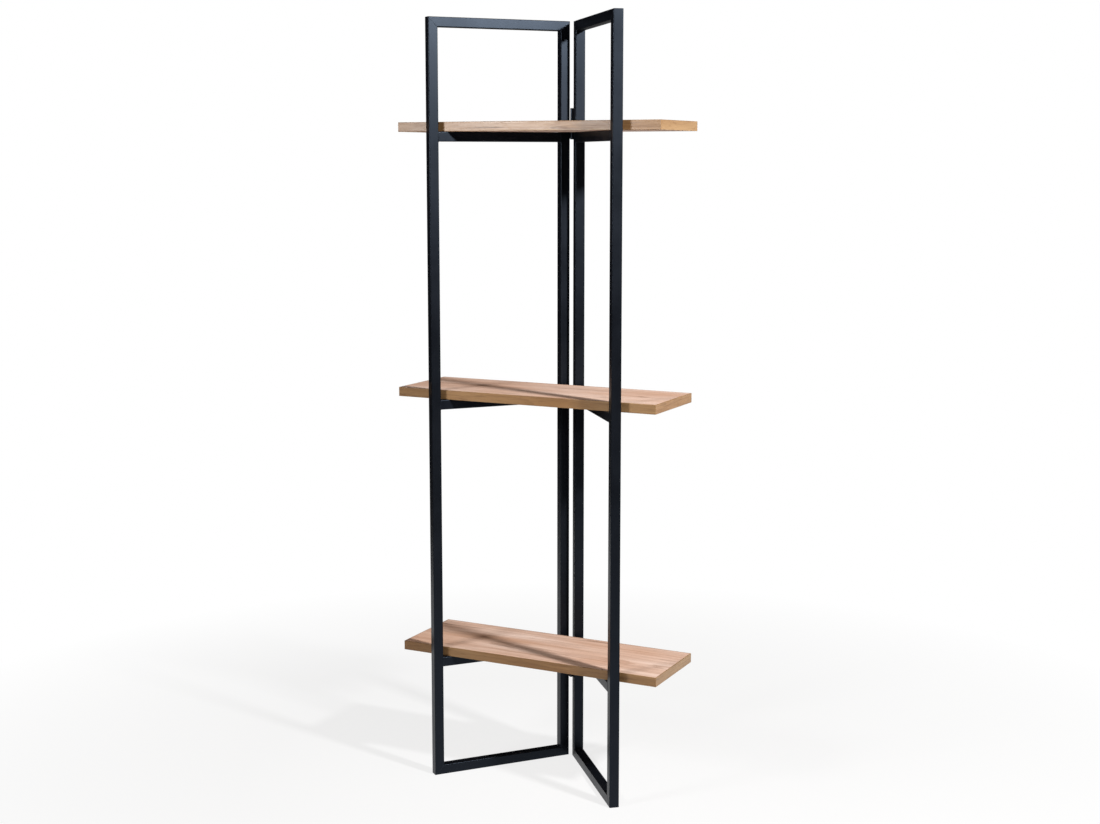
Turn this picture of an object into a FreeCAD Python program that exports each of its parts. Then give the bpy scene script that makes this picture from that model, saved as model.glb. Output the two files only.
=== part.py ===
import FreeCAD, Part
import os
import Sketcher

# Corner shelf unit: two welded square-tube leaves hinged in a V, with three loose boards across it.
# Millimetres, +Z up, front at -Y, origin on the floor at the middle of the whole unit.

# Driving sizes: alias, value, meaning
SIZES = [
    ("frame_height", 1960, "height of a leaf"),
    ("leaf_width", 386, "width of a leaf over both posts"),
    ("half_angle", 39.75, "degrees between a leaf and the middle plane of the V"),
    ("tube_side", 25, "outside of the square tube"),
    ("tube_wall", 1.5, "wall of the square tube"),
    ("tube_corner_radius", 2, "outer corner radius of the square tube"),
    ("floor_to_shelf", 318, "floor to the top of the lowest rung"),
    ("shelf_to_top", 282, "top of the highest rung to the top of the leaf"),
    ("barrel_radius", 5, "outside radius of a hinge barrel"),
    ("barrel_end_radius", 1.5, "rounding of a barrel's closed end"),
    ("weld_gap", 0.4, "inner post to barrel, filled by the weld strip"),
    ("weld_width", 2.5, "width of the weld strip on the post"),
    ("face_setback", 1.8, "hinge axis to the front face of a leaf"),
    ("hinge_length", 80, "length of a closed hinge"),
    ("hinge_inset", 260, "hinge middle to the nearer end of the leaf"),
    ("ring_thickness", 1, "ring between the two barrels"),
    ("ring_clearance", 0.15, "play on each side of the ring"),
    ("ring_bore_clearance", 0.2, "play between ring and pin"),
    ("pin_radius", 3, "hinge pin"),
    ("pin_clearance", 0.05, "running play of the pin in a barrel"),
    ("pin_end_clearance", 0.3, "play at each end of the pin"),
    ("pin_chamfer", 0.5, "chamfer on the ends of the pin"),
    ("bore_depth", 30, "depth of the pin's bore in a barrel"),
    ("shelf_thickness", 24, "thickness of a board"),
    ("shelf_overhang", 91.5, "board end past the side of an outer post"),
    ("shelf_front_clearance", 0.5, "outer post to the front edge of a board"),
    ("shelf_back_clearance", 0.6, "swinging inner post to the back edge of a board"),
    ("shelf_seat_gap", 0.2, "rung to the underside of a board"),
    ("shelf_shift", 2.5, "boards laid this far to the left of the hinge"),
    ("middle_shelf_shift", 7, "middle board laid this much further to the left"),
    ("band_thickness", 2, "edge band round a board"),
    ("band_edge_radius", 1, "rounding of an edge band"),
]

# Sizes worked out from the driving ones: alias, formula, meaning
WORKED_OUT = [
    ("post_offset", "barrel_radius + weld_gap", "hinge axis to the end face of an inner post"),
    ("leaf_reach", "post_offset + leaf_width", "hinge axis to the far side of an outer post"),
    ("bay_reach", "leaf_reach - tube_side", "hinge axis to the near side of an outer post"),
    ("leaf_back", "face_setback + tube_side", "hinge axis to the back face of a leaf"),
    ("leaf_middle", "face_setback + tube_side / 2", "hinge axis to the middle of a leaf's thickness"),
    ("rung_start", "post_offset + tube_side", "hinge axis to the near end of a rung"),
    ("rung_length", "bay_reach - rung_start", "rung between the two posts"),
    ("core_side", "tube_side - 2 * tube_wall", "inside of the square tube"),
    ("core_far", "tube_side - tube_wall", "far inner wall of the square tube"),
    ("frame_height_short", "frame_height - tube_side", "short side of a mitred post"),
    ("frame_height_near", "frame_height - tube_wall", "post bore at its long side"),
    ("frame_height_far", "frame_height - core_far", "post bore at its short side"),
    ("leaf_width_short", "leaf_width - tube_side", "short side of a mitred bar"),
    ("leaf_width_near", "leaf_width - tube_wall", "bar bore at its long side"),
    ("leaf_width_far", "leaf_width - core_far", "bar bore at its short side"),
    ("shelf_pitch", "(frame_height - floor_to_shelf - shelf_to_top) / 2", "rung to rung"),
    ("front_reach", "leaf_reach * cos(half_angle) - face_setback * sin(half_angle)", "axis to front"),
    ("back_reach", "leaf_back * sin(half_angle) - post_offset * cos(half_angle)", "axis to back"),
    ("side_reach", "leaf_reach * sin(half_angle) + leaf_back * cos(half_angle)", "axis to side"),
    ("post_front", "bay_reach * cos(half_angle) - leaf_back * sin(half_angle)", "axis to outer post"),
    ("axis_along", "shelf_shift + middle_shelf_shift / 2", "hinge axis along the boards"),
    ("axis_across", "(front_reach - back_reach) / 2", "hinge axis across the boards"),
    ("shelf_back", "rung_start + shelf_back_clearance", "hinge axis to the back edge of a board"),
    ("shelf_front", "post_front - shelf_front_clearance", "hinge axis to the front edge of a board"),
    ("shelf_depth", "shelf_front - shelf_back", "depth of a board"),
    ("shelf_length", "2 * (side_reach + shelf_overhang)", "length of a board"),
    ("panel_length", "shelf_length - 2 * band_thickness", "board without its end bands"),
    ("panel_depth", "shelf_depth - 2 * band_thickness", "board without its long bands"),
    ("mouth_gap", "ring_thickness + 2 * ring_clearance", "between the mouths of the two barrels"),
    ("barrel_length", "(hinge_length - mouth_gap) / 2", "one barrel"),
    ("bore_radius", "pin_radius + pin_clearance", "bore of a barrel"),
    ("weld_start", "(pin_radius + barrel_radius) / 2", "root of the weld strip inside the barrel"),
    ("weld_end", "face_setback + weld_width", "far side of the weld strip"),
    ("weld_length", "barrel_length - barrel_end_radius", "length of the weld strip"),
    ("pin_length", "2 * bore_depth + mouth_gap - 2 * pin_end_clearance", "hinge pin"),
    ("ring_bore", "pin_radius + ring_bore_clearance", "inner radius of the ring"),
]

X_AXIS = FreeCAD.Vector(1, 0, 0)
Y_AXIS = FreeCAD.Vector(0, 1, 0)
Z_AXIS = FreeCAD.Vector(0, 0, 1)
QUARTER_TURN = 90
HALF_TURN = 180
SAME_PLACE = 1e-6

doc = FreeCAD.newDocument("CornerShelf")
sheet = doc.addObject("Spreadsheet::Sheet", "Sizes")
sub_parts = []


def fill_sheet():
    """Write the driving sizes and the formulas that follow from them, one row each."""
    rows = [(alias, str(value), note) for alias, value, note in SIZES]
    rows += [(alias, "=" + formula, note) for alias, formula, note in WORKED_OUT]
    for row, (alias, content, note) in enumerate(rows, start=1):
        sheet.set(f"A{row}", alias)
        sheet.set(f"B{row}", content)
        sheet.set(f"C{row}", note)
        sheet.setAlias(f"B{row}", alias)
    doc.recompute()


def size(alias):
    """Return one size of the sheet as a number."""
    return float(sheet.get(alias))


def cell(alias):
    """Return the expression that reads one size of the sheet."""
    return "0" if alias == "0" else f"Sizes.{alias}"


def bind(feature, **properties):
    """Bind properties of a feature to sizes of the sheet."""
    for name, alias in properties.items():
        feature.setExpression(name, cell(alias))


def place(base=FreeCAD.Vector(), axis=Z_AXIS, angle=0):
    """Return a placement from a point and a turn about an axis."""
    return FreeCAD.Placement(base, FreeCAD.Rotation(axis, angle))


def new_body(label):
    """Start a sub-part as a body under its own name."""
    body = doc.addObject("PartDesign::Body", label)
    body.Label = label
    sub_parts.append(body)
    return body


def new_sketch(body, role, name):
    """Attach an empty sketch to one of the body's own origin planes."""
    sketch = body.newObject("Sketcher::SketchObject", name)
    support = next(f for f in body.Origin.OriginFeatures if f.Role == role)
    sketch.AttachmentSupport = [(support, "")]
    sketch.MapMode = "FlatFace"
    return sketch


def fix(sketch, kind, axis_line, geometry, alias):
    """Tie a line's first point to an axis line, or to a size of the sheet measured from the origin."""
    if alias == "0":
        sketch.addConstraint(Sketcher.Constraint("PointOnObject", geometry, 1, axis_line))
        return
    index = sketch.addConstraint(Sketcher.Constraint(kind, -1, 1, geometry, 1, size(alias)))
    sketch.setExpression(f"Constraints[{index}]", cell(alias))


def draw_polygon(sketch, corners):
    """Draw a closed polygon whose corners are pairs of sizes."""
    points = [FreeCAD.Vector(*(0 if a == "0" else size(a) for a in pair), 0) for pair in corners]
    first = sketch.GeometryCount
    count = len(points)
    for start, end in zip(points, points[1:] + points[:1]):
        sketch.addGeometry(Part.LineSegment(start, end), False)
    for step in range(count):
        following = first + (step + 1) % count
        sketch.addConstraint(Sketcher.Constraint("Coincident", first + step, 2, following, 1))
    for step, (across, along) in enumerate(corners):
        fix(sketch, "DistanceX", -2, first + step, across)
        fix(sketch, "DistanceY", -1, first + step, along)


def draw_circle(sketch, radius):
    """Draw a circle about the sketch's origin with a radius from the sheet."""
    circle = Part.Circle(FreeCAD.Vector(), Z_AXIS, size(radius))
    geometry = sketch.addGeometry(circle, False)
    sketch.addConstraint(Sketcher.Constraint("Coincident", geometry, 3, -1, 1))
    index = sketch.addConstraint(Sketcher.Constraint("Radius", geometry, size(radius)))
    sketch.setExpression(f"Constraints[{index}]", cell(radius))


def draw_box_outline(sketch, low, high, far_low, far_high):
    """Draw a rectangle from its low and high sides, each a size from the sheet."""
    draw_polygon(sketch, [(low, far_low), (high, far_low), (high, far_high), (low, far_high)])


def pad(body, sketch, length, side_type="One side"):
    """Add material along the sketch's normal."""
    feature = body.newObject("PartDesign::Pad", "Pad")
    feature.Profile = sketch
    feature.SideType = side_type
    bind(feature, Length=length)
    return feature


def ease_edges(body, kind, amount, wanted):
    """Round or chamfer those edges of the body so far whose end points pass a test."""
    doc.recompute()
    base = body.Tip
    names = [f"Edge{number}" for number, edge in enumerate(base.Shape.Edges, start=1)
             if wanted(edge)]
    feature = body.newObject(f"PartDesign::{kind}", kind)
    feature.Base = (base, names)
    bind(feature, **{"Radius" if kind == "Fillet" else "Size": amount})
    return feature


def all_at(edge, axis, value):
    """Tell whether every end point of an edge lies at one coordinate."""
    return all(abs(getattr(vertex.Point, axis) - value) < SAME_PLACE for vertex in edge.Vertexes)


# Square tube with both ends mitred: long side at z = 0, along x, thickness centred on y
def mitred_tube(label, length):
    body = new_body(label)
    doc.recompute()
    far = f"{length}_short"
    outer = new_sketch(body, "XZ_Plane", "Outline")
    draw_polygon(outer, [("0", "0"), (length, "0"), (far, "tube_side"), ("tube_side", "tube_side")])
    pad(body, outer, "tube_side", "Symmetric")
    core = new_sketch(body, "XZ_Plane", "Core")
    near_wall = (f"{length}_near", "tube_wall")
    far_wall = (f"{length}_far", "core_far")
    draw_polygon(core, [("tube_wall", "tube_wall"), near_wall, far_wall, ("core_far", "core_far")])
    pocket = body.newObject("PartDesign::Pocket", "Bore")
    pocket.Profile = core
    pocket.SideType = "Symmetric"
    bind(pocket, Length="core_side")
    half = size("tube_side") / 2

    def outer_corner(edge):
        on_side = all_at(edge, "y", half) or all_at(edge, "y", -half)
        return on_side and (all_at(edge, "z", 0) or all_at(edge, "z", size("tube_side")))

    ease_edges(body, "Fillet", "tube_corner_radius", outer_corner)
    return body


# Square tube cut off straight: along x, with its section in the first quadrant of y and z
def straight_tube(label, length):
    body = new_body(label)
    section = new_sketch(body, "YZ_Plane", "Section")
    draw_box_outline(section, "0", "tube_side", "0", "tube_side")
    draw_box_outline(section, "tube_wall", "core_far", "tube_wall", "core_far")
    pad(body, section, length)
    side = size("tube_side")

    def outer_corner(edge):
        on_side = all_at(edge, "y", 0) or all_at(edge, "y", side)
        return on_side and (all_at(edge, "z", 0) or all_at(edge, "z", side))

    ease_edges(body, "Fillet", "tube_corner_radius", outer_corner)
    return body


# Hinge barrel with its mouth at z = 0, a blind bore for the pin and a weld strip towards its post
def hinge_barrel(label):
    body = new_body(label)
    profile = new_sketch(body, "XZ_Plane", "Profile")
    draw_polygon(profile, [("bore_radius", "0"), ("barrel_radius", "0"),
                           ("barrel_radius", "barrel_length"), ("0", "barrel_length"),
                           ("0", "bore_depth"), ("bore_radius", "bore_depth")])
    turned = body.newObject("PartDesign::Revolution", "Turned")
    turned.Profile = profile
    turned.ReferenceAxis = (profile, ["V_Axis"])
    top = size("barrel_length")
    ease_edges(body, "Fillet", "barrel_end_radius", lambda edge: all_at(edge, "z", top))
    strip = new_sketch(body, "XY_Plane", "WeldStrip")
    draw_box_outline(strip, "weld_start", "post_offset", "face_setback", "weld_end")
    pad(body, strip, "weld_length")
    return body


# Hinge pin along z from z = 0, both ends chamfered
def hinge_pin(label):
    body = new_body(label)
    section = new_sketch(body, "XY_Plane", "Section")
    draw_circle(section, "pin_radius")
    pad(body, section, "pin_length")
    ends = (0, size("pin_length"))
    ease_edges(body, "Chamfer", "pin_chamfer", lambda edge: any(all_at(edge, "z", e) for e in ends))
    return body


# Flat ring that the upper barrel turns on
def hinge_ring(label):
    body = new_body(label)
    section = new_sketch(body, "XY_Plane", "Section")
    draw_circle(section, "barrel_radius")
    draw_circle(section, "ring_bore")
    pad(body, section, "ring_thickness")
    return body


# Board without its edge bands
def shelf_panel(label):
    panel = doc.addObject("Part::Box", label)
    panel.Label = label
    bind(panel, Length="panel_length", Width="panel_depth", Height="shelf_thickness")
    sub_parts.append(panel)
    return panel


# Edge band along x whose outer face is at y = 0; a long band also has its ends rounded
def edge_band(label, length, ends_show):
    body = new_body(label)
    outline = new_sketch(body, "XY_Plane", "Outline")
    draw_box_outline(outline, "0", length, "0", "band_thickness")
    pad(body, outline, "shelf_thickness")
    band = size("band_thickness")
    far_end = size(length)

    def showing(edge):
        if all_at(edge, "y", band):
            return False
        if all_at(edge, "x", 0) or all_at(edge, "x", far_end):
            return ends_show
        return all_at(edge, "y", 0)

    ease_edges(body, "Fillet", "band_edge_radius", showing)
    return body


# A leaf: two posts, a top and a bottom bar, and a rung under each shelf
def build_leaf(side, leaf, middle):
    base_point = FreeCAD.Vector
    start = size("post_offset")
    reach = size("leaf_reach")
    height = size("frame_height")
    bars = [
        ("bottom_bar", "leaf_width", place(base_point(start, middle, 0))),
        ("top_bar", "leaf_width", place(base_point(reach, middle, height), Y_AXIS, HALF_TURN)),
        ("outer_post", "frame_height", place(base_point(reach, middle, 0), Y_AXIS, -QUARTER_TURN)),
        ("inner_post", "frame_height", place(base_point(start, middle, height), Y_AXIS, QUARTER_TURN)),
    ]
    for name, length, spot in bars:
        mitred_tube(f"{side}_{name}", length).Placement = leaf.multiply(spot)
    low_side = middle - size("tube_side") / 2
    for level, rung_top in rung_tops().items():
        corner = base_point(size("rung_start"), low_side, rung_top - size("tube_side"))
        rung = straight_tube(f"{side}_{level}_rung", "rung_length")
        rung.Placement = leaf.multiply(place(corner))


# Heights of the rungs' tops, which carry the shelves
def rung_tops():
    lowest = size("floor_to_shelf")
    pitch = size("shelf_pitch")
    return {"bottom": lowest, "middle": lowest + pitch, "top": lowest + 2 * pitch}


# A weld-on hinge: one barrel on each leaf, a pin through both and a ring between them
def build_hinge(name, height, axis_point, left_leaf, right_leaf):
    half_gap = size("mouth_gap") / 2
    upper = hinge_barrel(f"{name}_right_barrel")
    upper.Placement = right_leaf.multiply(place(FreeCAD.Vector(0, 0, height + half_gap)))
    lower = hinge_barrel(f"{name}_left_barrel")
    mouth = FreeCAD.Vector(0, 0, height - half_gap)
    lower.Placement = left_leaf.multiply(place(mouth, X_AXIS, HALF_TURN))
    pin_foot = FreeCAD.Vector(0, 0, height - size("pin_length") / 2)
    hinge_pin(f"{name}_pin").Placement = place(axis_point + pin_foot)
    ring_foot = FreeCAD.Vector(0, 0, height - size("ring_thickness") / 2)
    hinge_ring(f"{name}_ring").Placement = place(axis_point + ring_foot)


# A shelf: a panel with an edge band on each of its four sides
def build_shelf(level, rung_top, shift, axis_point):
    length = size("shelf_length")
    depth = size("shelf_depth")
    band = size("band_thickness")
    seat = rung_top + size("shelf_seat_gap")
    corner = axis_point + FreeCAD.Vector(shift - length / 2, -size("shelf_front"), seat)
    shelf = place(corner)
    spots = {
        "front": place(),
        "back": place(FreeCAD.Vector(length, depth, 0), Z_AXIS, HALF_TURN),
        "left": place(FreeCAD.Vector(0, depth - band, 0), Z_AXIS, -QUARTER_TURN),
        "right": place(FreeCAD.Vector(length, band, 0), Z_AXIS, QUARTER_TURN),
    }
    panel = shelf_panel(f"{level}_shelf_panel")
    panel.Placement = shelf.multiply(place(FreeCAD.Vector(band, band, 0)))
    for edge, spot in spots.items():
        long_edge = edge in ("front", "back")
        run = "shelf_length" if long_edge else "panel_depth"
        piece = edge_band(f"{level}_shelf_{edge}_band", run, long_edge)
        piece.Placement = shelf.multiply(spot)


# Stop if anything failed, then write one file per sub-part
def check_and_write():
    doc.recompute()
    for thing in doc.Objects:
        if "Invalid" in thing.State or "Error" in thing.State:
            raise RuntimeError(f"{thing.Label} failed: {thing.State}")
    for piece in sub_parts:
        if piece.Shape.isNull() or not piece.Shape.isValid():
            raise RuntimeError(f"{piece.Label} has no valid shape")
        if len(piece.Shape.Solids) != 1:
            raise RuntimeError(f"{piece.Label} is not one solid")
    os.makedirs("parts", exist_ok=True)
    for piece in sub_parts:
        piece.Shape.exportStep(f"parts/{piece.Label}.step")
        print(piece.Label, "volume", round(piece.Shape.Volume))
    whole = FreeCAD.BoundBox()
    for piece in sub_parts:
        whole.add(piece.Shape.BoundBox)
    print(len(sub_parts), "sub-parts", whole)


fill_sheet()
hinge_axis = FreeCAD.Vector(size("axis_along"), size("axis_across"), 0)
spread = size("half_angle")
left_frame = place(hinge_axis, Z_AXIS, -QUARTER_TURN - spread)
right_frame = place(hinge_axis, Z_AXIS, spread - QUARTER_TURN)
build_leaf("left", left_frame, -size("leaf_middle"))
build_leaf("right", right_frame, size("leaf_middle"))
build_hinge("upper_hinge", size("frame_height") - size("hinge_inset"), hinge_axis, left_frame, right_frame)
build_hinge("lower_hinge", size("hinge_inset"), hinge_axis, left_frame, right_frame)
for shelf_level, seat_height in rung_tops().items():
    extra = size("middle_shelf_shift") if shelf_level == "middle" else 0
    build_shelf(shelf_level, seat_height, -size("shelf_shift") - extra, hinge_axis)
check_and_write()
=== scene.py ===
"""Corner shelf unit: finishes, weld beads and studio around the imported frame, in metres."""

import logging
import math
from dataclasses import dataclass, field, replace
from enum import Enum

import bmesh
import bpy
from mathutils import Matrix, Vector


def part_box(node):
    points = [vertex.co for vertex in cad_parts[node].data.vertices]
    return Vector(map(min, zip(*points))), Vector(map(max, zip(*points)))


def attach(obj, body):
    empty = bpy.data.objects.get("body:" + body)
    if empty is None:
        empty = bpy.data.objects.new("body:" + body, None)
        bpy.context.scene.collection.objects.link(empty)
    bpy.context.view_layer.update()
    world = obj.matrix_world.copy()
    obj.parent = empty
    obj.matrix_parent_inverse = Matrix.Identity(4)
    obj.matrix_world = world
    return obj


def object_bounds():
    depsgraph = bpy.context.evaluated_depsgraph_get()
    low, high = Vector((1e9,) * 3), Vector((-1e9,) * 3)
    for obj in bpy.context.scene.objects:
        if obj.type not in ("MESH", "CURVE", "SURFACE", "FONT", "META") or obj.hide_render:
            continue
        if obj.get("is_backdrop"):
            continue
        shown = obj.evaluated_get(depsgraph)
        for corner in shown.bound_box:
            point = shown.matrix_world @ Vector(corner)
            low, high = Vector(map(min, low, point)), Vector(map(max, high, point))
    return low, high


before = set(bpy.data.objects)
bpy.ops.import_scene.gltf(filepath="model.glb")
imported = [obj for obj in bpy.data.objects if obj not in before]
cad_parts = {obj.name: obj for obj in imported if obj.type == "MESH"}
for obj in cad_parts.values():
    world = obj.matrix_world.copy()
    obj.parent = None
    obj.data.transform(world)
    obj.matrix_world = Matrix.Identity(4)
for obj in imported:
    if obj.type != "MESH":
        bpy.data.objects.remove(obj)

logging.basicConfig(level=logging.INFO, format="%(message)s")
log = logging.getLogger("corner_shelf")

Socket = bpy.types.NodeSocket
Pair = tuple[float, float]
Triple = tuple[float, float, float]
Setting = Socket | float | Triple | Vector

PHOTO_WIDTH = 1100
UP = Vector((0.0, 0.0, 1.0))
BOTH_FACES = (1, -1)
QUARTER_TURN = math.pi / 2
WHITE = (1.0, 1.0, 1.0)
FLOAT = "NodeSocketFloat"
VECTOR = "NodeSocketVector"


def linear(red: int, green: int, blue: int) -> Triple:
    """Turn a colour written in screen values into scene values.

    Args:
        red: Red from 0 to 255.
        green: Green from 0 to 255.
        blue: Blue from 0 to 255.

    Returns:
        The same colour as three linear numbers.
    """
    full = 255
    straight_end = 0.04045
    straight_slope = 12.92
    offset = 0.055
    power = 2.4
    shares = [channel / full for channel in (red, green, blue)]
    return tuple(
        share / straight_slope if share <= straight_end else ((share + offset) / (1 + offset)) ** power
        for share in shares
    )


class Side(Enum):
    """The two leaves of the frame, as seen from the front."""

    LEFT = "left"
    RIGHT = "right"


class Post(Enum):
    """The two posts of a leaf: the inner one is at the hinge."""

    INNER = "inner"
    OUTER = "outer"


class End(Enum):
    """The two ends of a post."""

    BOTTOM = "bottom"
    TOP = "top"


class Level(Enum):
    """The three boards, from the floor up."""

    BOTTOM = "bottom"
    MIDDLE = "middle"
    TOP = "top"


class Along(Enum):
    """The direction that wood figure runs in."""

    LENGTH = "length"
    DEPTH = "depth"


class Band(Enum):
    """The four edge bands of a board."""

    FRONT = "front"
    BACK = "back"
    LEFT = "left"
    RIGHT = "right"

    @property
    def along(self) -> Along:
        """Direction of the band, which its figure follows."""
        return Along.LENGTH if self in (Band.FRONT, Band.BACK) else Along.DEPTH


class Graph:
    """A shader node tree being drawn, with a short call for each kind of node."""

    # Places of a mix node's two inputs and its output, by its data type
    MIX_SOCKETS = {"FLOAT": (2, 3, 0), "RGBA": (6, 7, 2)}

    def __init__(self, tree: bpy.types.NodeTree) -> None:
        """Start on an existing tree."""
        self.tree = tree

    def add(self, kind: str, inputs: dict[str, Setting] | None = None, **settings: object) -> bpy.types.Node:
        """Add one node.

        Args:
            kind: Blender's node type.
            inputs: Values or sockets by input name.
            settings: Properties of the node itself.

        Returns:
            The new node.
        """
        node = self.tree.nodes.new(kind)
        for name, value in settings.items():
            setattr(node, name, value)
        for name, value in (inputs or {}).items():
            self.feed(node.inputs[name], value)
        return node

    def feed(self, target: Socket, value: Setting) -> None:
        """Link a socket to an input, or set the input to a plain value.

        Args:
            target: The input.
            value: A socket, or a number, vector or colour that is the same everywhere.
        """
        if isinstance(value, Socket):
            self.tree.links.new(value, target)
        elif target.type == "RGBA":
            target.default_value = (*value, 1.0)
        else:
            target.default_value = value

    def math(self, operation: str, *values: Setting, clamp: bool = False) -> Socket:
        """Work out one number from others.

        Args:
            operation: Blender's name of the sum.
            values: The numbers, in the order that the sum takes them.
            clamp: Whether the result is held between 0 and 1.

        Returns:
            The result.
        """
        node = self.add("ShaderNodeMath", operation=operation, use_clamp=clamp)
        for target, value in zip(node.inputs, values):
            self.feed(target, value)
        return node.outputs["Value"]

    def vector_math(self, operation: str, *vectors: Setting) -> bpy.types.NodeOutputs:
        """Work out a vector or a number from one or two vectors.

        Args:
            operation: Blender's name of the sum.
            vectors: The vectors, in the order that the sum takes them.

        Returns:
            The node's outputs: Vector for a vector and Value for a number.
        """
        node = self.add("ShaderNodeVectorMath", operation=operation)
        for target, vector in zip(node.inputs, vectors):
            self.feed(target, vector)
        return node.outputs

    def spread(self, value: Socket, span: Pair, result: Pair = (0.0, 1.0)) -> Socket:
        """Map a range of numbers to another range, held at both ends.

        Args:
            value: The number.
            span: The two ends of the range that it comes from.
            result: What the two ends become.

        Returns:
            The mapped number.
        """
        names = ("From Min", "From Max", "To Min", "To Max")
        ends = dict(zip(names, (*span, *result)))
        return self.add("ShaderNodeMapRange", {"Value": value, **ends}, clamp=True).outputs["Result"]

    def mix(self, share: Setting, first: Setting, second: Setting, kind: str = "RGBA") -> Socket:
        """Blend two colours or two numbers.

        Args:
            share: Share of the second, from 0 to 1.
            first: What a share of 0 gives.
            second: What a share of 1 gives.
            kind: Blender's data type, RGBA for colours and FLOAT for numbers.

        Returns:
            The blend.
        """
        first_input, second_input, output = self.MIX_SOCKETS[kind]
        node = self.add("ShaderNodeMix", {"Factor": share}, data_type=kind)
        self.feed(node.inputs[first_input], first)
        self.feed(node.inputs[second_input], second)
        return node.outputs[output]

    def noise(self, vector: Socket, scale: Setting, detail: float, roughness: float = 0.5) -> Socket:
        """Return a noise value over a vector."""
        inputs = {"Vector": vector, "Scale": scale, "Detail": detail, "Roughness": roughness}
        return self.add("ShaderNodeTexNoise", inputs).outputs["Fac"]

    def stretched(self, vector: Socket, scale: Triple, location: Triple = (0.0, 0.0, 0.0)) -> Socket:
        """Scale a vector along each axis and move it."""
        inputs = {"Vector": vector, "Location": location, "Scale": scale}
        return self.add("ShaderNodeMapping", inputs).outputs["Vector"]

    def joined(self, x: Socket, y: Socket, z: Socket) -> Socket:
        """Return the vector that three numbers make."""
        return self.add("ShaderNodeCombineXYZ", {"X": x, "Y": y, "Z": z}).outputs["Vector"]

    def parts(self, vector: Socket) -> bpy.types.NodeOutputs:
        """Return the three numbers of a vector, as outputs X, Y and Z."""
        return self.add("ShaderNodeSeparateXYZ", {"Vector": vector}).outputs

    def object_place(self) -> Socket:
        """Return the place on the object, in metres."""
        return self.add("ShaderNodeTexCoord").outputs["Object"]


class Effect:
    """A shader node group that several finishes share."""

    def __init__(self, name: str, inputs: dict[str, str], outputs: dict[str, str]) -> None:
        """Make an empty group.

        Args:
            name: Name of the group.
            inputs: Socket types by input name.
            outputs: Socket types by output name.
        """
        self.group = bpy.data.node_groups.new(name, "ShaderNodeTree")
        for socket, kind in inputs.items():
            self.group.interface.new_socket(socket, in_out="INPUT", socket_type=kind)
        for socket, kind in outputs.items():
            self.group.interface.new_socket(socket, in_out="OUTPUT", socket_type=kind)
        self.graph = Graph(self.group)
        self.given = self.graph.add("NodeGroupInput").outputs
        self.wanted = self.graph.add("NodeGroupOutput").inputs

    def put_out(self, **values: Socket) -> None:
        """Link the group's outputs, each by its name."""
        for name, value in values.items():
            self.graph.feed(self.wanted[name], value)

    def used_in(self, graph: Graph, **values: Setting) -> bpy.types.NodeOutputs:
        """Place the group in a material.

        Args:
            graph: The material's graph.
            values: Values or sockets by input name, with spaces as underscores.

        Returns:
            The outputs of the placed group.
        """
        node = graph.add("ShaderNodeGroup", node_tree=self.group)
        for name, value in values.items():
            graph.feed(node.inputs[name.replace("_", " ")], value)
        return node.outputs


@dataclass(frozen=True)
class WornEdges:
    """Mask of worn edges, which is 1 on a sharp edge that is rubbed and 0 on a flat face."""

    samples: int = 6
    turn_span: Pair = (0.99, 0.86)
    rubs_per_metre: float = 60.0
    rub_detail: float = 5.0
    rub_roughness: float = 0.6
    rub_span: Pair = (0.35, 0.65)

    def build(self) -> Effect:
        """Build the group.

        Returns:
            The group, whose inputs are the edge's radius and how patchy the wear is.
        """
        effect = Effect("worn edges", {"Radius": FLOAT, "Patchiness": FLOAT}, {"Mask": FLOAT})
        graph = effect.graph
        radius = effect.given["Radius"]
        patchiness = effect.given["Patchiness"]
        rounded = graph.add("ShaderNodeBevel", {"Radius": radius}, samples=self.samples).outputs["Normal"]
        facing = graph.add("ShaderNodeNewGeometry").outputs["Normal"]
        alike = graph.vector_math("DOT_PRODUCT", rounded, facing)["Value"]
        turned = graph.spread(alike, self.turn_span)
        rubs = graph.noise(graph.object_place(), self.rubs_per_metre, self.rub_detail, self.rub_roughness)
        rubbed = graph.spread(rubs, self.rub_span)
        kept = graph.math("SUBTRACT", 1.0, patchiness)
        share = graph.math("MULTIPLY_ADD", rubbed, patchiness, kept)
        effect.put_out(Mask=graph.math("MULTIPLY", turned, share, clamp=True))
        return effect


@dataclass(frozen=True)
class Marks:
    """Noise drawn out along the grain, sized by how many marks come in a metre."""

    along: float
    across: float
    detail: float = 2.0
    roughness: float = 0.5
    shift: Triple = (0.0, 0.0, 0.0)

    def over(self, graph: Graph, vector: Socket) -> Socket:
        """Return the noise over a vector whose x runs along the grain."""
        place = graph.stretched(vector, (self.along, self.across, self.across), self.shift)
        return graph.noise(place, 1.0, self.detail, self.roughness)


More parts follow.
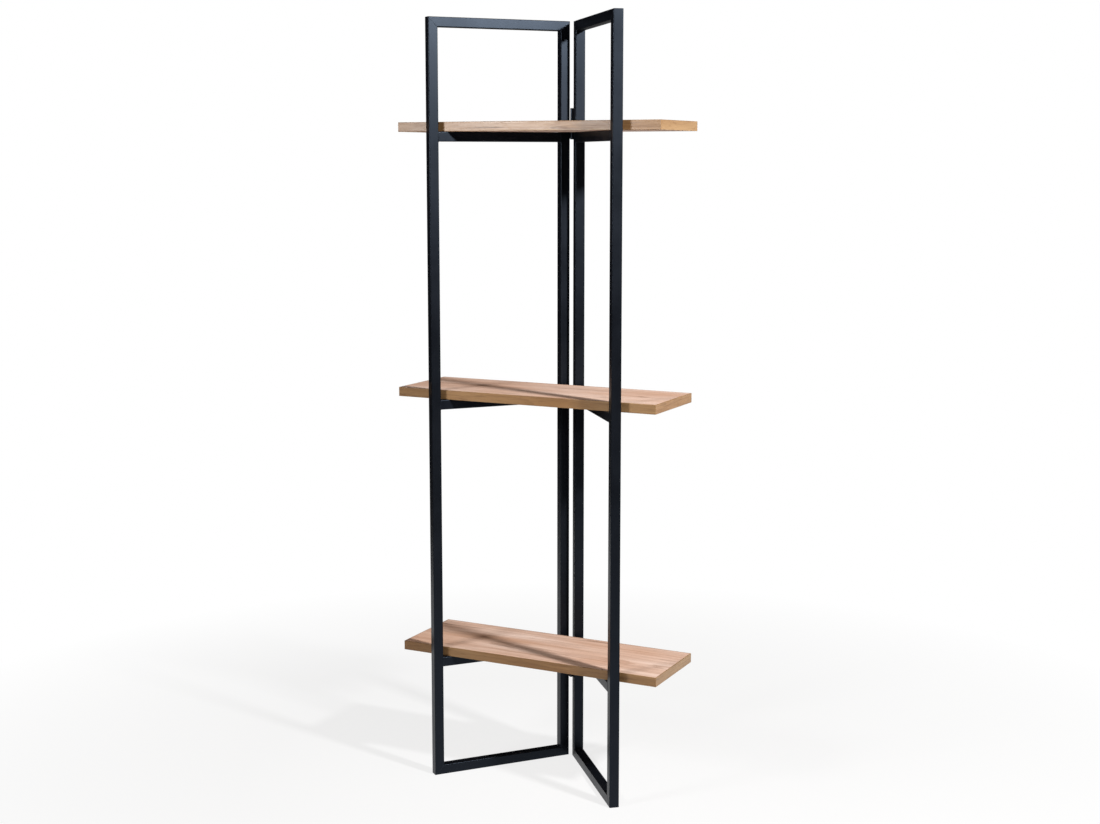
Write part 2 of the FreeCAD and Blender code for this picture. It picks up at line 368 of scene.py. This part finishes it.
@dataclass(frozen=True)
class OakFigure:
    """Figure of oak: lanes and blush, growth rings, streaks, flecks, knots and pores."""

    bends: Marks = Marks(3.0, 16.0)
    lanes: Marks = Marks(1.6, 17.0, roughness=0.55)
    blush: Marks = Marks(2.4, 9.0, shift=(3.7, 1.9, 5.3))
    ring_wobble: Marks = Marks(5.0, 40.0, detail=3.0)
    ring_power: float = 2.0
    streaks: Marks = Marks(4.0, 260.0, detail=4.0, roughness=0.6)
    flecks: Marks = Marks(7.0, 95.0, detail=3.0, roughness=0.55)
    fleck_span: Pair = (0.62, 0.74)
    pores: Marks = Marks(60.0, 1300.0)
    pore_span: Pair = (0.60, 0.72)
    knots_per_metre: Triple = (2.3, 7.0, 7.0)
    knot_fray: Marks = Marks(60.0, 220.0)
    knot_fray_share: float = 0.05
    knot_span: Pair = (0.035, 0.085)
    bulge_span: Pair = (0.03, 0.34)
    bulge: float = 0.011

    def near_knot(self, graph: Graph, place: Socket) -> Socket:
        """Work out the ragged distance to the nearest knot.

        Args:
            graph: The group's graph.
            place: Vector whose x runs along the grain.

        Returns:
            The distance, in shares of the distance between knots.
        """
        scaled = graph.stretched(place, self.knots_per_metre)
        cells = graph.add("ShaderNodeTexVoronoi", {"Vector": scaled, "Scale": 1.0})
        fray = graph.math("MULTIPLY", self.knot_fray.over(graph, place), self.knot_fray_share)
        return graph.math("ADD", cells.outputs["Distance"], fray)

    def rings(self, graph: Graph, centre_place: Socket, grain_place: Socket, spacing: Socket) -> Socket:
        """Work out the growth rings, each paler at its start and darkest at its end.

        Args:
            graph: The group's graph.
            centre_place: Vector from the heart of the log.
            grain_place: Vector that wanders with the grain.
            spacing: Width of one ring.

        Returns:
            The rings, from 0 to 1.
        """
        distance = graph.vector_math("LENGTH", centre_place)["Value"]
        turns = graph.math("DIVIDE", distance, spacing)
        wobbling = graph.math("ADD", turns, self.ring_wobble.over(graph, grain_place))
        return graph.math("POWER", graph.math("FRACT", wobbling), self.ring_power)

    def build(self) -> Effect:
        """Build the group.

        Returns:
            The group, over a vector in metres whose x runs along the grain.
        """
        inputs = {"Vector": VECTOR, "Ring Spacing": FLOAT, "Tilt": FLOAT, "Wander": FLOAT}
        names = ("Lanes", "Blush", "Rings", "Streaks", "Flecks", "Knots", "Pores")
        effect = Effect("oak figure", inputs, {name: FLOAT for name in names})
        graph = effect.graph
        place = effect.given["Vector"]
        parts = graph.parts(place)
        bend = graph.math("SUBTRACT", self.bends.over(graph, place), 0.5)
        offset = graph.math("MULTIPLY", bend, effect.given["Wander"])
        near_knot = self.near_knot(graph, place)
        bulge = graph.math("MULTIPLY", graph.spread(near_knot, self.bulge_span, (1.0, 0.0)), self.bulge)
        across = graph.math("ADD", graph.math("ADD", parts["Y"], offset), bulge)
        wandering = graph.joined(parts["X"], across, parts["Z"])
        tilted = graph.math("MULTIPLY", parts["X"], effect.given["Tilt"])
        from_heart = graph.joined(tilted, across, parts["Z"])
        effect.put_out(
            Lanes=self.lanes.over(graph, wandering),
            Blush=self.blush.over(graph, wandering),
            Rings=self.rings(graph, from_heart, wandering, effect.given["Ring Spacing"]),
            Streaks=self.streaks.over(graph, wandering),
            Flecks=graph.spread(self.flecks.over(graph, wandering), self.fleck_span),
            Knots=graph.spread(near_knot, self.knot_span, (1.0, 0.0)),
            Pores=graph.spread(self.pores.over(graph, wandering), self.pore_span),
        )
        return effect


@dataclass(frozen=True)
class FineSkin:
    """Fine skin of a sprayed or turned surface, as a height and as a slow change of tone."""

    bump_detail: float = 2.0
    clouds_per_metre: float = 9.0
    cloud_detail: float = 5.0
    cloud_roughness: float = 0.6

    def build(self) -> Effect:
        """Build the group.

        Returns:
            The group, whose inputs are a vector and the number of bumps in a metre.
        """
        inputs = {"Vector": VECTOR, "Bumps Per Metre": FLOAT}
        effect = Effect("fine skin", inputs, {"Height": FLOAT, "Tone": FLOAT})
        graph = effect.graph
        place = effect.given["Vector"]
        bumps = graph.noise(place, effect.given["Bumps Per Metre"], self.bump_detail)
        clouds = graph.noise(place, self.clouds_per_metre, self.cloud_detail, self.cloud_roughness)
        effect.put_out(Height=bumps, Tone=clouds)
        return effect


@dataclass(frozen=True)
class Effects:
    """The shared shader groups."""

    edges: Effect
    figure: Effect
    skin: Effect


def new_material(name: str) -> tuple[bpy.types.Material, Graph, bpy.types.Node]:
    """Make a material that holds only a shader and its output.

    Args:
        name: Name of the material.

    Returns:
        The material, its graph and its Principled shader.
    """
    material = bpy.data.materials.new(name)
    material.use_nodes = True
    shader = next(node for node in material.node_tree.nodes if node.type == "BSDF_PRINCIPLED")
    return material, Graph(material.node_tree), shader


def add_bump(graph: Graph, shader: bpy.types.Node, height: Socket, strength: float, depth: float) -> None:
    """Give a shader a bumpy surface from a height, with a strength from 0 to 1 and a depth."""
    bump = graph.add("ShaderNodeBump", {"Strength": strength, "Distance": depth, "Height": height})
    graph.feed(shader.inputs["Normal"], bump.outputs["Normal"])


@dataclass(frozen=True)
class PowderCoat:
    """Satin black powder coat on steel tube, rubbed a little along its edges."""

    base: Triple = linear(9, 10, 14)
    worn: Triple = linear(62, 68, 78)
    sheen: Triple = linear(204, 226, 255)
    specular: float = 0.24
    roughness: Pair = (0.34, 0.42)
    tone_span: Pair = (0.3, 0.7)
    cloud_share: float = 0.05
    bumps_per_metre: float = 900.0
    bump_strength: float = 0.10
    bump_depth: float = 0.0002
    edge_radius: float = 0.0012
    edge_patchiness: float = 0.8
    edge_share: float = 0.35

    def build(self, effects: Effects) -> bpy.types.Material:
        """Build the material.

        Args:
            effects: The shared shader groups.

        Returns:
            The finished material.
        """
        material, graph, shader = new_material("black_powder_coat")
        skin = effects.skin.used_in(graph, Vector=graph.object_place(), Bumps_Per_Metre=self.bumps_per_metre)
        edges = effects.edges.used_in(graph, Radius=self.edge_radius, Patchiness=self.edge_patchiness)
        rub = graph.math("MULTIPLY", edges["Mask"], self.edge_share)
        cloud = graph.spread(skin["Tone"], self.tone_span, (0.0, self.cloud_share))
        tone = graph.mix(cloud, self.base, self.worn)
        graph.feed(shader.inputs["Base Color"], graph.mix(rub, tone, self.worn))
        graph.feed(shader.inputs["Roughness"], graph.spread(skin["Tone"], self.tone_span, self.roughness))
        graph.feed(shader.inputs["Specular IOR Level"], self.specular)
        graph.feed(shader.inputs["Specular Tint"], self.sheen)
        add_bump(graph, shader, skin["Height"], self.bump_strength, self.bump_depth)
        return material


@dataclass(frozen=True)
class HingeSteel:
    """Bright turned steel of the hinge pins and rings."""

    bright: Triple = linear(190, 192, 196)
    dull: Triple = linear(120, 122, 126)
    roughness: Pair = (0.22, 0.38)
    height_span: Pair = (0.3, 0.7)
    turning_marks_per_metre: float = 2200.0
    mark_stretch: Triple = (0.02, 0.02, 1.0)
    edge_radius: float = 0.0003
    edge_patchiness: float = 0.5

    def build(self, effects: Effects) -> bpy.types.Material:
        """Build the material.

        Args:
            effects: The shared shader groups.

        Returns:
            The finished material.
        """
        material, graph, shader = new_material("hinge_steel")
        marks = graph.stretched(graph.object_place(), self.mark_stretch)
        skin = effects.skin.used_in(graph, Vector=marks, Bumps_Per_Metre=self.turning_marks_per_metre)
        edges = effects.edges.used_in(graph, Radius=self.edge_radius, Patchiness=self.edge_patchiness)
        tone = graph.mix(skin["Height"], self.dull, self.bright)
        graph.feed(shader.inputs["Base Color"], graph.mix(edges["Mask"], tone, self.bright))
        gloss = graph.spread(skin["Height"], self.height_span, self.roughness)
        graph.feed(shader.inputs["Roughness"], gloss)
        graph.feed(shader.inputs["Metallic"], 1.0)
        return material


@dataclass(frozen=True)
class OakDecor:
    """Oak-figured surface of a board's faces or of its edge bands."""

    pale: Triple
    middle: Triple
    blush: Triple
    dark: Triple
    pore: Triple
    ring_share: float
    streak_share: float
    fleck_share: float
    ring_spacing: float
    blush_share: float = 0.75
    knot_share: float = 0.6
    pore_share: float = 0.35
    lane_span: Pair = (0.36, 0.64)
    blush_span: Pair = (0.42, 0.66)
    streak_span: Pair = (0.5, 0.78)
    gloss_span: Pair = (0.3, 0.7)
    tilt: float = 0.045
    wander: float = 0.022
    roughness: Pair = (0.48, 0.62)
    specular: float = 0.25
    bump_strength: float = 0.25
    bump_depth: float = 0.0002

    def grain_place(self, graph: Graph, along: Along, heart: Vector) -> Socket:
        """Work out the place on a board as seen from the heart of the log.

        Args:
            graph: The material's graph.
            along: Direction of the grain.
            heart: Point of the log's heart in the frame.

        Returns:
            A vector in metres whose x runs along the grain.
        """
        vector = graph.vector_math("SUBTRACT", graph.object_place(), heart)["Vector"]
        if along is Along.LENGTH:
            return vector
        inputs = {"Vector": vector, "Rotation": (0.0, 0.0, QUARTER_TURN)}
        return graph.add("ShaderNodeMapping", inputs).outputs["Vector"]

    def colour(self, graph: Graph, figure: bpy.types.NodeOutputs) -> Socket:
        """Lay the colours of the figure over each other.

        Args:
            graph: The material's graph.
            figure: Outputs of the placed oak figure.

        Returns:
            The colour of the wood.
        """
        layers = (
            (graph.spread(figure["Blush"], self.blush_span, (0.0, self.blush_share)), self.blush),
            (graph.math("MULTIPLY", figure["Rings"], self.ring_share), self.dark),
            (graph.spread(figure["Streaks"], self.streak_span, (0.0, self.streak_share)), self.dark),
            (graph.math("MULTIPLY", figure["Flecks"], self.fleck_share), self.pore),
            (graph.math("MULTIPLY", figure["Knots"], self.knot_share), self.pore),
            (graph.math("MULTIPLY", figure["Pores"], self.pore_share), self.pore),
        )
        colour = graph.mix(graph.spread(figure["Lanes"], self.lane_span), self.middle, self.pale)
        for mask, tint in layers:
            colour = graph.mix(mask, colour, tint)
        return colour

    def build(self, name: str, effects: Effects, along: Along, heart: Vector) -> bpy.types.Material:
        """Build the material for one board.

        Args:
            name: Name of the material.
            effects: The shared shader groups.
            along: Direction of the grain.
            heart: Point of the log's heart in the frame, different for each board.

        Returns:
            The finished material.
        """
        material, graph, shader = new_material(name)
        place = self.grain_place(graph, along, heart)
        sizes = {"Ring_Spacing": self.ring_spacing, "Tilt": self.tilt, "Wander": self.wander}
        figure = effects.figure.used_in(graph, Vector=place, **sizes)
        graph.feed(shader.inputs["Base Color"], self.colour(graph, figure))
        gloss = graph.spread(figure["Streaks"], self.gloss_span, self.roughness)
        graph.feed(shader.inputs["Roughness"], gloss)
        graph.feed(shader.inputs["Specular IOR Level"], self.specular)
        height = graph.math("SUBTRACT", figure["Streaks"], figure["Pores"])
        add_bump(graph, shader, height, self.bump_strength, self.bump_depth)
        return material


BOARD_FACE = OakDecor(
    pale=linear(240, 214, 199),
    middle=linear(216, 184, 165),
    blush=linear(208, 164, 136),
    dark=linear(156, 110, 80),
    pore=linear(106, 66, 42),
    ring_share=0.36,
    streak_share=0.75,
    fleck_share=0.65,
    ring_spacing=0.017,
)
# The front and back bands are the same edging as the end bands, given darker colours: painted shade for the
# dimmer light on the front edges.
SHADED_LONG_BAND = OakDecor(
    pale=linear(158, 124, 86),
    middle=linear(132, 99, 64),
    blush=linear(130, 92, 54),
    dark=linear(90, 58, 32),
    pore=linear(64, 40, 24),
    ring_share=0.25,
    streak_share=0.65,
    fleck_share=0.5,
    ring_spacing=0.009,
    roughness=(0.33, 0.45),
    specular=0.42,
)
# The end bands: the same edging in its lighter colours, without the long bands' painted shade.
END_BAND = replace(
    SHADED_LONG_BAND,
    pale=linear(178, 146, 108),
    middle=linear(150, 118, 84),
    blush=linear(148, 109, 72),
    dark=linear(106, 72, 44),
    pore=linear(72, 46, 28),
)


def dress(node: str, material: bpy.types.Material) -> None:
    """Give a node of the frame its finish.

    Args:
        node: Name of the node.
        material: The finish.
    """
    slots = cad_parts[node].data.materials
    slots.clear()
    slots.append(material)


def middle_of(node: str) -> Vector:
    """Return the middle of a node's box."""
    low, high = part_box(node)
    return (low + high) / 2


def axes(origin: Vector, along: Vector, out: Vector) -> Matrix:
    """Build a matrix from an origin, its x axis and its z axis.

    Args:
        origin: Where the matrix puts the origin.
        along: Direction of the x axis.
        out: Direction of the z axis, square to the x axis.

    Returns:
        The matrix.
    """
    columns = Matrix((along, out.cross(along), out)).transposed().to_4x4()
    columns.translation = origin
    return columns


@dataclass(frozen=True)
class Bead:
    """A low rounded ridge of weld metal, with the ripples of its making."""

    length: float
    width: float
    rise: float
    ripple: float
    rounds: int = 10
    steps_per_ripple: int = 4
    fewest_ripples: int = 2
    end_share: float = 0.35
    dip_share: float = 0.16

    def steps(self) -> int:
        """Number of steps along the bead."""
        return self.steps_per_ripple * max(self.fewest_ripples, round(self.length / self.ripple))

    def swell(self, step: int) -> float:
        """Work out how full the bead is at a step: it tapers at its ends and dips in each ripple.

        Args:
            step: Number of the step from one end.

        Returns:
            Share of the full width and rise.
        """
        ripples_from_end = min(step, self.steps() - step) / self.steps_per_ripple
        taper = min(1.0, self.end_share + (1 - self.end_share) * ripples_from_end)
        return taper * (1 - self.dip_share * (step % self.steps_per_ripple) / self.steps_per_ripple)

    def add_to(self, mesh: bmesh.types.BMesh, place: Matrix) -> None:
        """Add the bead to a mesh.

        Args:
            mesh: The mesh.
            place: Matrix whose x axis runs along the bead and whose z axis stands out of the metal.
        """
        ring = bmesh.ops.create_circle(mesh, cap_ends=False, radius=0.5, segments=self.rounds)["verts"]
        stand = Matrix.Translation((-self.length / 2, 0, 0)) @ Matrix.Rotation(QUARTER_TURN, 4, "Y")
        bmesh.ops.transform(mesh, matrix=stand, verts=ring)
        first_edges = list({edge for vert in ring for edge in vert.link_edges})
        stride = (self.length / self.steps(), 0, 0)
        loops = [list(ring)]
        edges = first_edges
        for _ in range(self.steps()):
            grown = bmesh.ops.extrude_edge_only(mesh, edges=edges)["geom"]
            verts = [item for item in grown if isinstance(item, bmesh.types.BMVert)]
            edges = [item for item in grown if isinstance(item, bmesh.types.BMEdge)]
            bmesh.ops.translate(mesh, vec=stride, verts=verts)
            loops.append(verts)
        for step, verts in enumerate(loops):
            swell = self.swell(step)
            scale = Matrix.Diagonal((1, self.width * swell, 2 * self.rise * swell, 1))
            bmesh.ops.transform(mesh, matrix=scale, verts=verts)
        bmesh.ops.contextual_create(mesh, geom=first_edges)
        bmesh.ops.contextual_create(mesh, geom=edges)
        bmesh.ops.transform(mesh, matrix=place, verts=[vert for verts in loops for vert in verts])


def finish_weld(name: str, mesh: bmesh.types.BMesh, body: str, material: bpy.types.Material) -> None:
    """Turn drawn weld beads into a piece that rides on a body.

    Args:
        name: Name of the piece.
        mesh: The drawn mesh, in place.
        body: Body that the piece moves with.
        material: Finish of the piece.
    """
    bmesh.ops.recalc_face_normals(mesh, faces=mesh.faces)
    data = bpy.data.meshes.new(name)
    mesh.to_mesh(data)
    mesh.free()
    data.shade_smooth()
    data.materials.append(material)
    piece = bpy.data.objects.new(name, data)
    bpy.context.scene.collection.objects.link(piece)
    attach(piece, body)
    log.info("welded %s", name)


@dataclass
class Leaf:
    """One welded leaf of the frame: its tubes come with the frame, its weld beads are added here."""

    side: Side
    coat: bpy.types.Material
    bead_width: float = 0.0042
    bead_rise: float = 0.0014
    seam_rise: float = 0.0004
    mitre_width: float = 0.0030
    mitre_rise: float = 0.0002
    ripple: float = 0.0022
    tube: float = field(init=False)
    reach: float = field(init=False)
    along: Vector = field(init=False)
    inward: Vector = field(init=False)
    corner: Vector = field(init=False)

    def __post_init__(self) -> None:
        """Read the leaf's sizes and directions from the frame."""
        low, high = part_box(f"{self.side.value}_bottom_bar")
        self.tube = high.z - low.z
        self.corner = middle_of(f"{self.side.value}_inner_post")
        run = middle_of(f"{self.side.value}_outer_post") - self.corner
        run.z = 0
        self.reach = run.length
        self.along = run.normalized()
        turn = 1 if self.side is Side.RIGHT else -1
        self.inward = self.along.cross(UP) * turn

    @property
    def body(self) -> str:
        """Name of the body that the leaf belongs to."""
        return f"{self.side.value}_frame"

    def point(self, distance: float, height: float) -> Vector:
        """Return the point in the middle of the tubes, at a distance from the inner post and a height."""
        return Vector((self.corner.x, self.corner.y, height)) + self.along * distance

    def outward_from(self, point: Vector) -> Vector:
        """Return the leaf's level normal on the side where the inner post stands off a point."""
        offset = self.corner - point
        return self.inward if offset.dot(self.inward) > 0 else -self.inward

    def dress_tubes(self) -> None:
        """Coat every tube of the leaf."""
        bars = ("outer_post", "inner_post", "top_bar", "bottom_bar")
        rungs = tuple(f"{level.value}_rung" for level in Level)
        for bar in bars + rungs:
            dress(f"{self.side.value}_{bar}", self.coat)
        log.info("dressed the tubes of the %s leaf", self.side.value)

    def build_rung_welds(self, level: Level) -> None:
        """Weld both ends of one rung to the posts: a flush seam on each face and a bead underneath.

        Args:
            level: The board that the rung carries.
        """
        rung = f"{self.side.value}_{level.value}_rung"
        half = self.tube / 2
        length = self.tube - self.bead_width
        seam = Bead(length, self.bead_width, self.seam_rise, self.ripple)
        bead = Bead(length, self.bead_width, self.bead_rise, self.ripple)
        for post, distance in ((Post.INNER, half), (Post.OUTER, self.reach - half)):
            mesh = bmesh.new()
            joint = self.point(distance, middle_of(rung).z)
            for face in BOTH_FACES:
                out = self.inward * face
                seam.add_to(mesh, axes(joint + out * half, UP, out))
            bead.add_to(mesh, axes(joint - UP * half, self.inward, -UP))
            finish_weld(f"{rung}_{post.value}_weld", mesh, self.body, self.coat)

    def build_mitre_seams(self) -> None:
        """Run a low ground seam over each mitred corner, on the front face and on the back face."""
        low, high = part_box(f"{self.side.value}_outer_post")
        half = self.tube / 2
        length = self.tube * math.sqrt(2) - self.bead_width
        seam = Bead(length, self.mitre_width, self.mitre_rise, self.ripple)
        for end, height, rise in ((End.BOTTOM, low.z + half, 1), (End.TOP, high.z - half, -1)):
            for post, distance, lean in ((Post.INNER, 0.0, 1), (Post.OUTER, self.reach, -1)):
                mesh = bmesh.new()
                middle = self.point(distance, height)
                diagonal = (self.along * lean + UP * rise).normalized()
                for face in BOTH_FACES:
                    out = self.inward * face
                    seam.add_to(mesh, axes(middle + out * half, diagonal, out))
                name = f"{self.side.value}_{end.value}_{post.value}_mitre_seam"
                finish_weld(name, mesh, self.body, self.coat)

    def build(self) -> None:
        """Coat the leaf, weld its rungs and seam its corners."""
        self.dress_tubes()
        for level in Level:
            self.build_rung_welds(level)
        self.build_mitre_seams()


@dataclass
class Hinge:
    """A weld-on barrel hinge between the two inner posts."""

    name: str
    coat: bpy.types.Material
    steel: bpy.types.Material
    leaves: dict[Side, Leaf]
    bead_rise: float = 0.0013
    bead_width: float = 0.00312
    bead_sink: float = 0.00104
    bead_inset: float = 0.0015
    ripple: float = 0.0026
    groove_share: float = 0.68
    lean_share: float = 0.6

    def dress_pieces(self) -> None:
        """Coat the barrels and leave the pin and the ring bright."""
        for side in Side:
            dress(f"{self.name}_{side.value}_barrel", self.coat)
        for piece in ("pin", "ring"):
            dress(f"{self.name}_{piece}", self.steel)
        log.info("dressed %s", self.name)

    def build_barrel_weld(self, side: Side) -> None:
        """Lay a bead in the groove between a barrel and the post that it is welded to.

        Args:
            side: The leaf that carries the barrel.
        """
        leaf = self.leaves[side]
        low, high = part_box(f"{self.name}_{side.value}_barrel")
        axis = middle_of(f"{self.name}_pin")
        axis.z = (low.z + high.z) / 2
        post_face = (leaf.corner - axis).dot(leaf.along) - leaf.tube / 2
        outward = leaf.outward_from(axis)
        groove = axis + leaf.along * (post_face - self.bead_sink) + outward * (post_face * self.groove_share)
        out = (outward - leaf.along * self.lean_share).normalized()
        length = high.z - low.z - 2 * self.bead_inset
        mesh = bmesh.new()
        Bead(length, self.bead_width, self.bead_rise, self.ripple).add_to(mesh, axes(groove, UP, out))
        finish_weld(f"{self.name}_{side.value}_weld", mesh, leaf.body, self.coat)

    def build(self) -> None:
        """Dress the hinge and weld its barrels."""
        self.dress_pieces()
        for side in Side:
            self.build_barrel_weld(side)


@dataclass
class Shelf:
    """A loose board with an edge band on each of its four sides."""

    level: Level
    effects: Effects
    heart_shares: Triple

    def heart(self) -> Vector:
        """Return the point of the log's heart for this board, from shares of the board's own size."""
        low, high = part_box(f"{self.level.value}_shelf_panel")
        return low + (high - low) * Vector(self.heart_shares)

    def build(self) -> None:
        """Give the panel and its bands their oak finish."""
        name = f"{self.level.value}_shelf"
        heart = self.heart()
        face = BOARD_FACE.build(f"{name}_oak_decor", self.effects, Along.LENGTH, heart)
        # The long bands take the darker copy of the edging, which is painted shade for the dimmer front
        # edges.
        edges = {
            Along.LENGTH: SHADED_LONG_BAND.build(f"{name}_oak_shaded_long_band", self.effects, Along.LENGTH, heart),
            Along.DEPTH: END_BAND.build(f"{name}_oak_end_band", self.effects, Along.DEPTH, heart),
        }
        dress(f"{name}_panel", face)
        for band in Band:
            dress(f"{name}_{band.value}_band", edges[band.along])
        log.info("dressed %s", name)


HEART_SHARES = {
    Level.BOTTOM: (0.72, 0.35, -1.4),
    Level.MIDDLE: (0.25, 0.62, -1.8),
    Level.TOP: (0.55, 0.45, -1.2),
}


@dataclass(frozen=True)
class Lamp:
    """A square studio lamp."""

    name: str
    place: Triple
    watts: float
    side: float
    spread: float = math.pi

    def build(self, target: Vector) -> None:
        """Set the lamp up.

        Args:
            target: Point that the lamp looks at.
        """
        data = bpy.data.lights.new(self.name, "AREA")
        data.energy = self.watts
        data.size = self.side
        data.spread = self.spread
        lamp = bpy.data.objects.new(self.name, data)
        lamp.location = self.place
        lamp.rotation_euler = (target - Vector(self.place)).to_track_quat("-Z", "Y").to_euler()
        bpy.context.scene.collection.objects.link(lamp)


RIGHT_LAMP = Lamp("right_lamp", place=(2.31, -0.80, 2.61), watts=124.0, side=0.21)
FRONT_LAMP = Lamp(
    "front_lamp",
    place=(-1.05, -2.05, 1.85),
    watts=24.5,
    side=0.50,
    spread=math.radians(135),
)


@dataclass(frozen=True)
class Rays:
    """Masks of how a ray comes: from the camera, from a reflection or glass, or from either."""

    camera: Socket
    mirrored: Socket
    seen: Socket

    @classmethod
    def read(cls, graph: Graph) -> "Rays":
        """Read the masks in a material or a world.

        Args:
            graph: Its graph.

        Returns:
            The masks, each 1 for such a ray and 0 for any other.
        """
        path = graph.add("ShaderNodeLightPath").outputs
        camera = path["Is Camera Ray"]
        mirrored = graph.math("MAXIMUM", path["Is Glossy Ray"], path["Is Transmission Ray"])
        return cls(camera, mirrored, graph.math("MAXIMUM", camera, mirrored))


@dataclass(frozen=True)
class Studio:
    """Camera, lamps, pale floor and white surroundings.

    The surroundings are white to the camera. A reflection shows a white sweep that stands behind the
    object, low and a little to its right, in a dim studio. Plain warm light falls on every surface.
    """

    eye: Triple = (1.9107, -3.7988, 1.6108)
    turn: float = math.radians(26.539)
    pitch: float = math.radians(7.957)
    focal_pixels: float = 1670.0
    centre_offset_pixels: float = -20.0
    sensor: float = 36.0
    floor_side: float = 4.4
    floor_colour: Triple = linear(226, 226, 226)
    floor_roughness: float = 0.9
    shadow_share: float = 0.2
    shadow_reach: Pair = (0.8, 2.0)
    ambient: float = 0.09
    ambient_colour: Triple = (1.0, 0.76, 0.56)
    studio_dim: float = 0.02
    sweep_axis: Triple = (0.5, 0.866, 0.0)
    sweep_turn: Pair = (0.5, 0.85)
    sweep_rise: Pair = (-0.2, 0.0)
    sweep_top: float = 0.08

    def build_camera(self) -> None:
        """Set the camera where the photograph was taken from."""
        data = bpy.data.cameras.new("camera")
        data.sensor_width = self.sensor
        data.lens = self.focal_pixels * self.sensor / PHOTO_WIDTH
        data.shift_y = self.centre_offset_pixels / PHOTO_WIDTH
        camera = bpy.data.objects.new("camera", data)
        camera.location = self.eye
        camera.rotation_euler = (QUARTER_TURN - self.pitch, 0, self.turn)
        bpy.context.scene.collection.objects.link(camera)
        bpy.context.scene.camera = camera

    def build_floor(self) -> None:
        """Lay a square floor under the object."""
        mesh = bmesh.new()
        bmesh.ops.create_grid(mesh, x_segments=1, y_segments=1, size=self.floor_side / 2)
        data = bpy.data.meshes.new("floor")
        mesh.to_mesh(data)
        mesh.free()
        data.materials.append(self.floor_paper())
        floor = bpy.data.objects.new("floor", data)
        bpy.context.scene.collection.objects.link(floor)
        floor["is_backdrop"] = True

    def floor_paper(self) -> bpy.types.Material:
        """Build the floor's pale paper, which reads as white and takes a soft shadow near the object.

        Returns:
            The finished material.
        """
        material, graph, shader = new_material("floor_paper")
        graph.feed(shader.inputs["Base Color"], self.floor_colour)
        graph.feed(shader.inputs["Roughness"], self.floor_roughness)
        graph.feed(shader.inputs["Specular IOR Level"], 0.0)
        white = graph.add("ShaderNodeEmission", {"Color": WHITE, "Strength": 1.0})
        distance = graph.vector_math("LENGTH", graph.object_place())["Value"]
        paper = graph.spread(distance, self.shadow_reach, (1 - self.shadow_share, 1.0))
        share = graph.math("MULTIPLY", Rays.read(graph).seen, paper)
        blend = graph.add("ShaderNodeMixShader", {"Fac": share})
        plain_input, white_input = blend.inputs[1:]
        graph.feed(plain_input, shader.outputs["BSDF"])
        graph.feed(white_input, white.outputs["Emission"])
        output = next(node for node in material.node_tree.nodes if node.type == "OUTPUT_MATERIAL")
        graph.feed(output.inputs["Surface"], blend.outputs["Shader"])
        return material

    def mirrored_level(self, graph: Graph) -> Socket:
        """Work out how bright the studio is in a reflection, by its direction.

        Args:
            graph: The world's graph.

        Returns:
            1 on the white sweep, and less above it and all round.
        """
        direction = graph.add("ShaderNodeTexCoord").outputs["Generated"]
        facing = graph.vector_math("DOT_PRODUCT", direction, self.sweep_axis)["Value"]
        behind = graph.spread(facing, self.sweep_turn, (self.studio_dim, 1.0))
        low = graph.spread(graph.parts(direction)["Z"], self.sweep_rise, (1.0, self.sweep_top))
        return graph.math("MULTIPLY", behind, low)

    def build_world(self) -> None:
        """Surround the object with white to the camera, the studio to a reflection, and plain light."""
        world = bpy.data.worlds.new("studio")
        world.use_nodes = True
        bpy.context.scene.world = world
        graph = Graph(world.node_tree)
        rays = Rays.read(graph)
        level = graph.mix(rays.mirrored, self.ambient, self.mirrored_level(graph), "FLOAT")
        background = next(node for node in world.node_tree.nodes if node.type == "BACKGROUND")
        graph.feed(background.inputs["Color"], graph.mix(rays.seen, self.ambient_colour, WHITE))
        graph.feed(background.inputs["Strength"], graph.math("MAXIMUM", level, rays.camera))

    def build_lamps(self) -> None:
        """Hang a lamp high on the right and a weaker one in front on the left."""
        low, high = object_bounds()
        RIGHT_LAMP.build((low + high) / 2)
        FRONT_LAMP.build(middle_of("top_shelf_panel"))

    def build(self) -> None:
        """Build the whole studio."""
        self.build_camera()
        self.build_floor()
        self.build_world()
        self.build_lamps()
        bpy.context.scene.view_settings.view_transform = "Standard"
        log.info("built the studio")


def main() -> None:
    """Build every sub-assembly in order."""
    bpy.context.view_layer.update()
    effects = Effects(WornEdges().build(), OakFigure().build(), FineSkin().build())
    coat = PowderCoat().build(effects)
    steel = HingeSteel().build(effects)
    leaves = {side: Leaf(side, coat) for side in Side}
    for leaf in leaves.values():
        leaf.build()
    for name in ("upper_hinge", "lower_hinge"):
        Hinge(name, coat, steel, leaves).build()
    for level, heart_shares in HEART_SHARES.items():
        Shelf(level, effects, heart_shares).build()
    Studio().build()


if __name__ == "__main__":
    main()
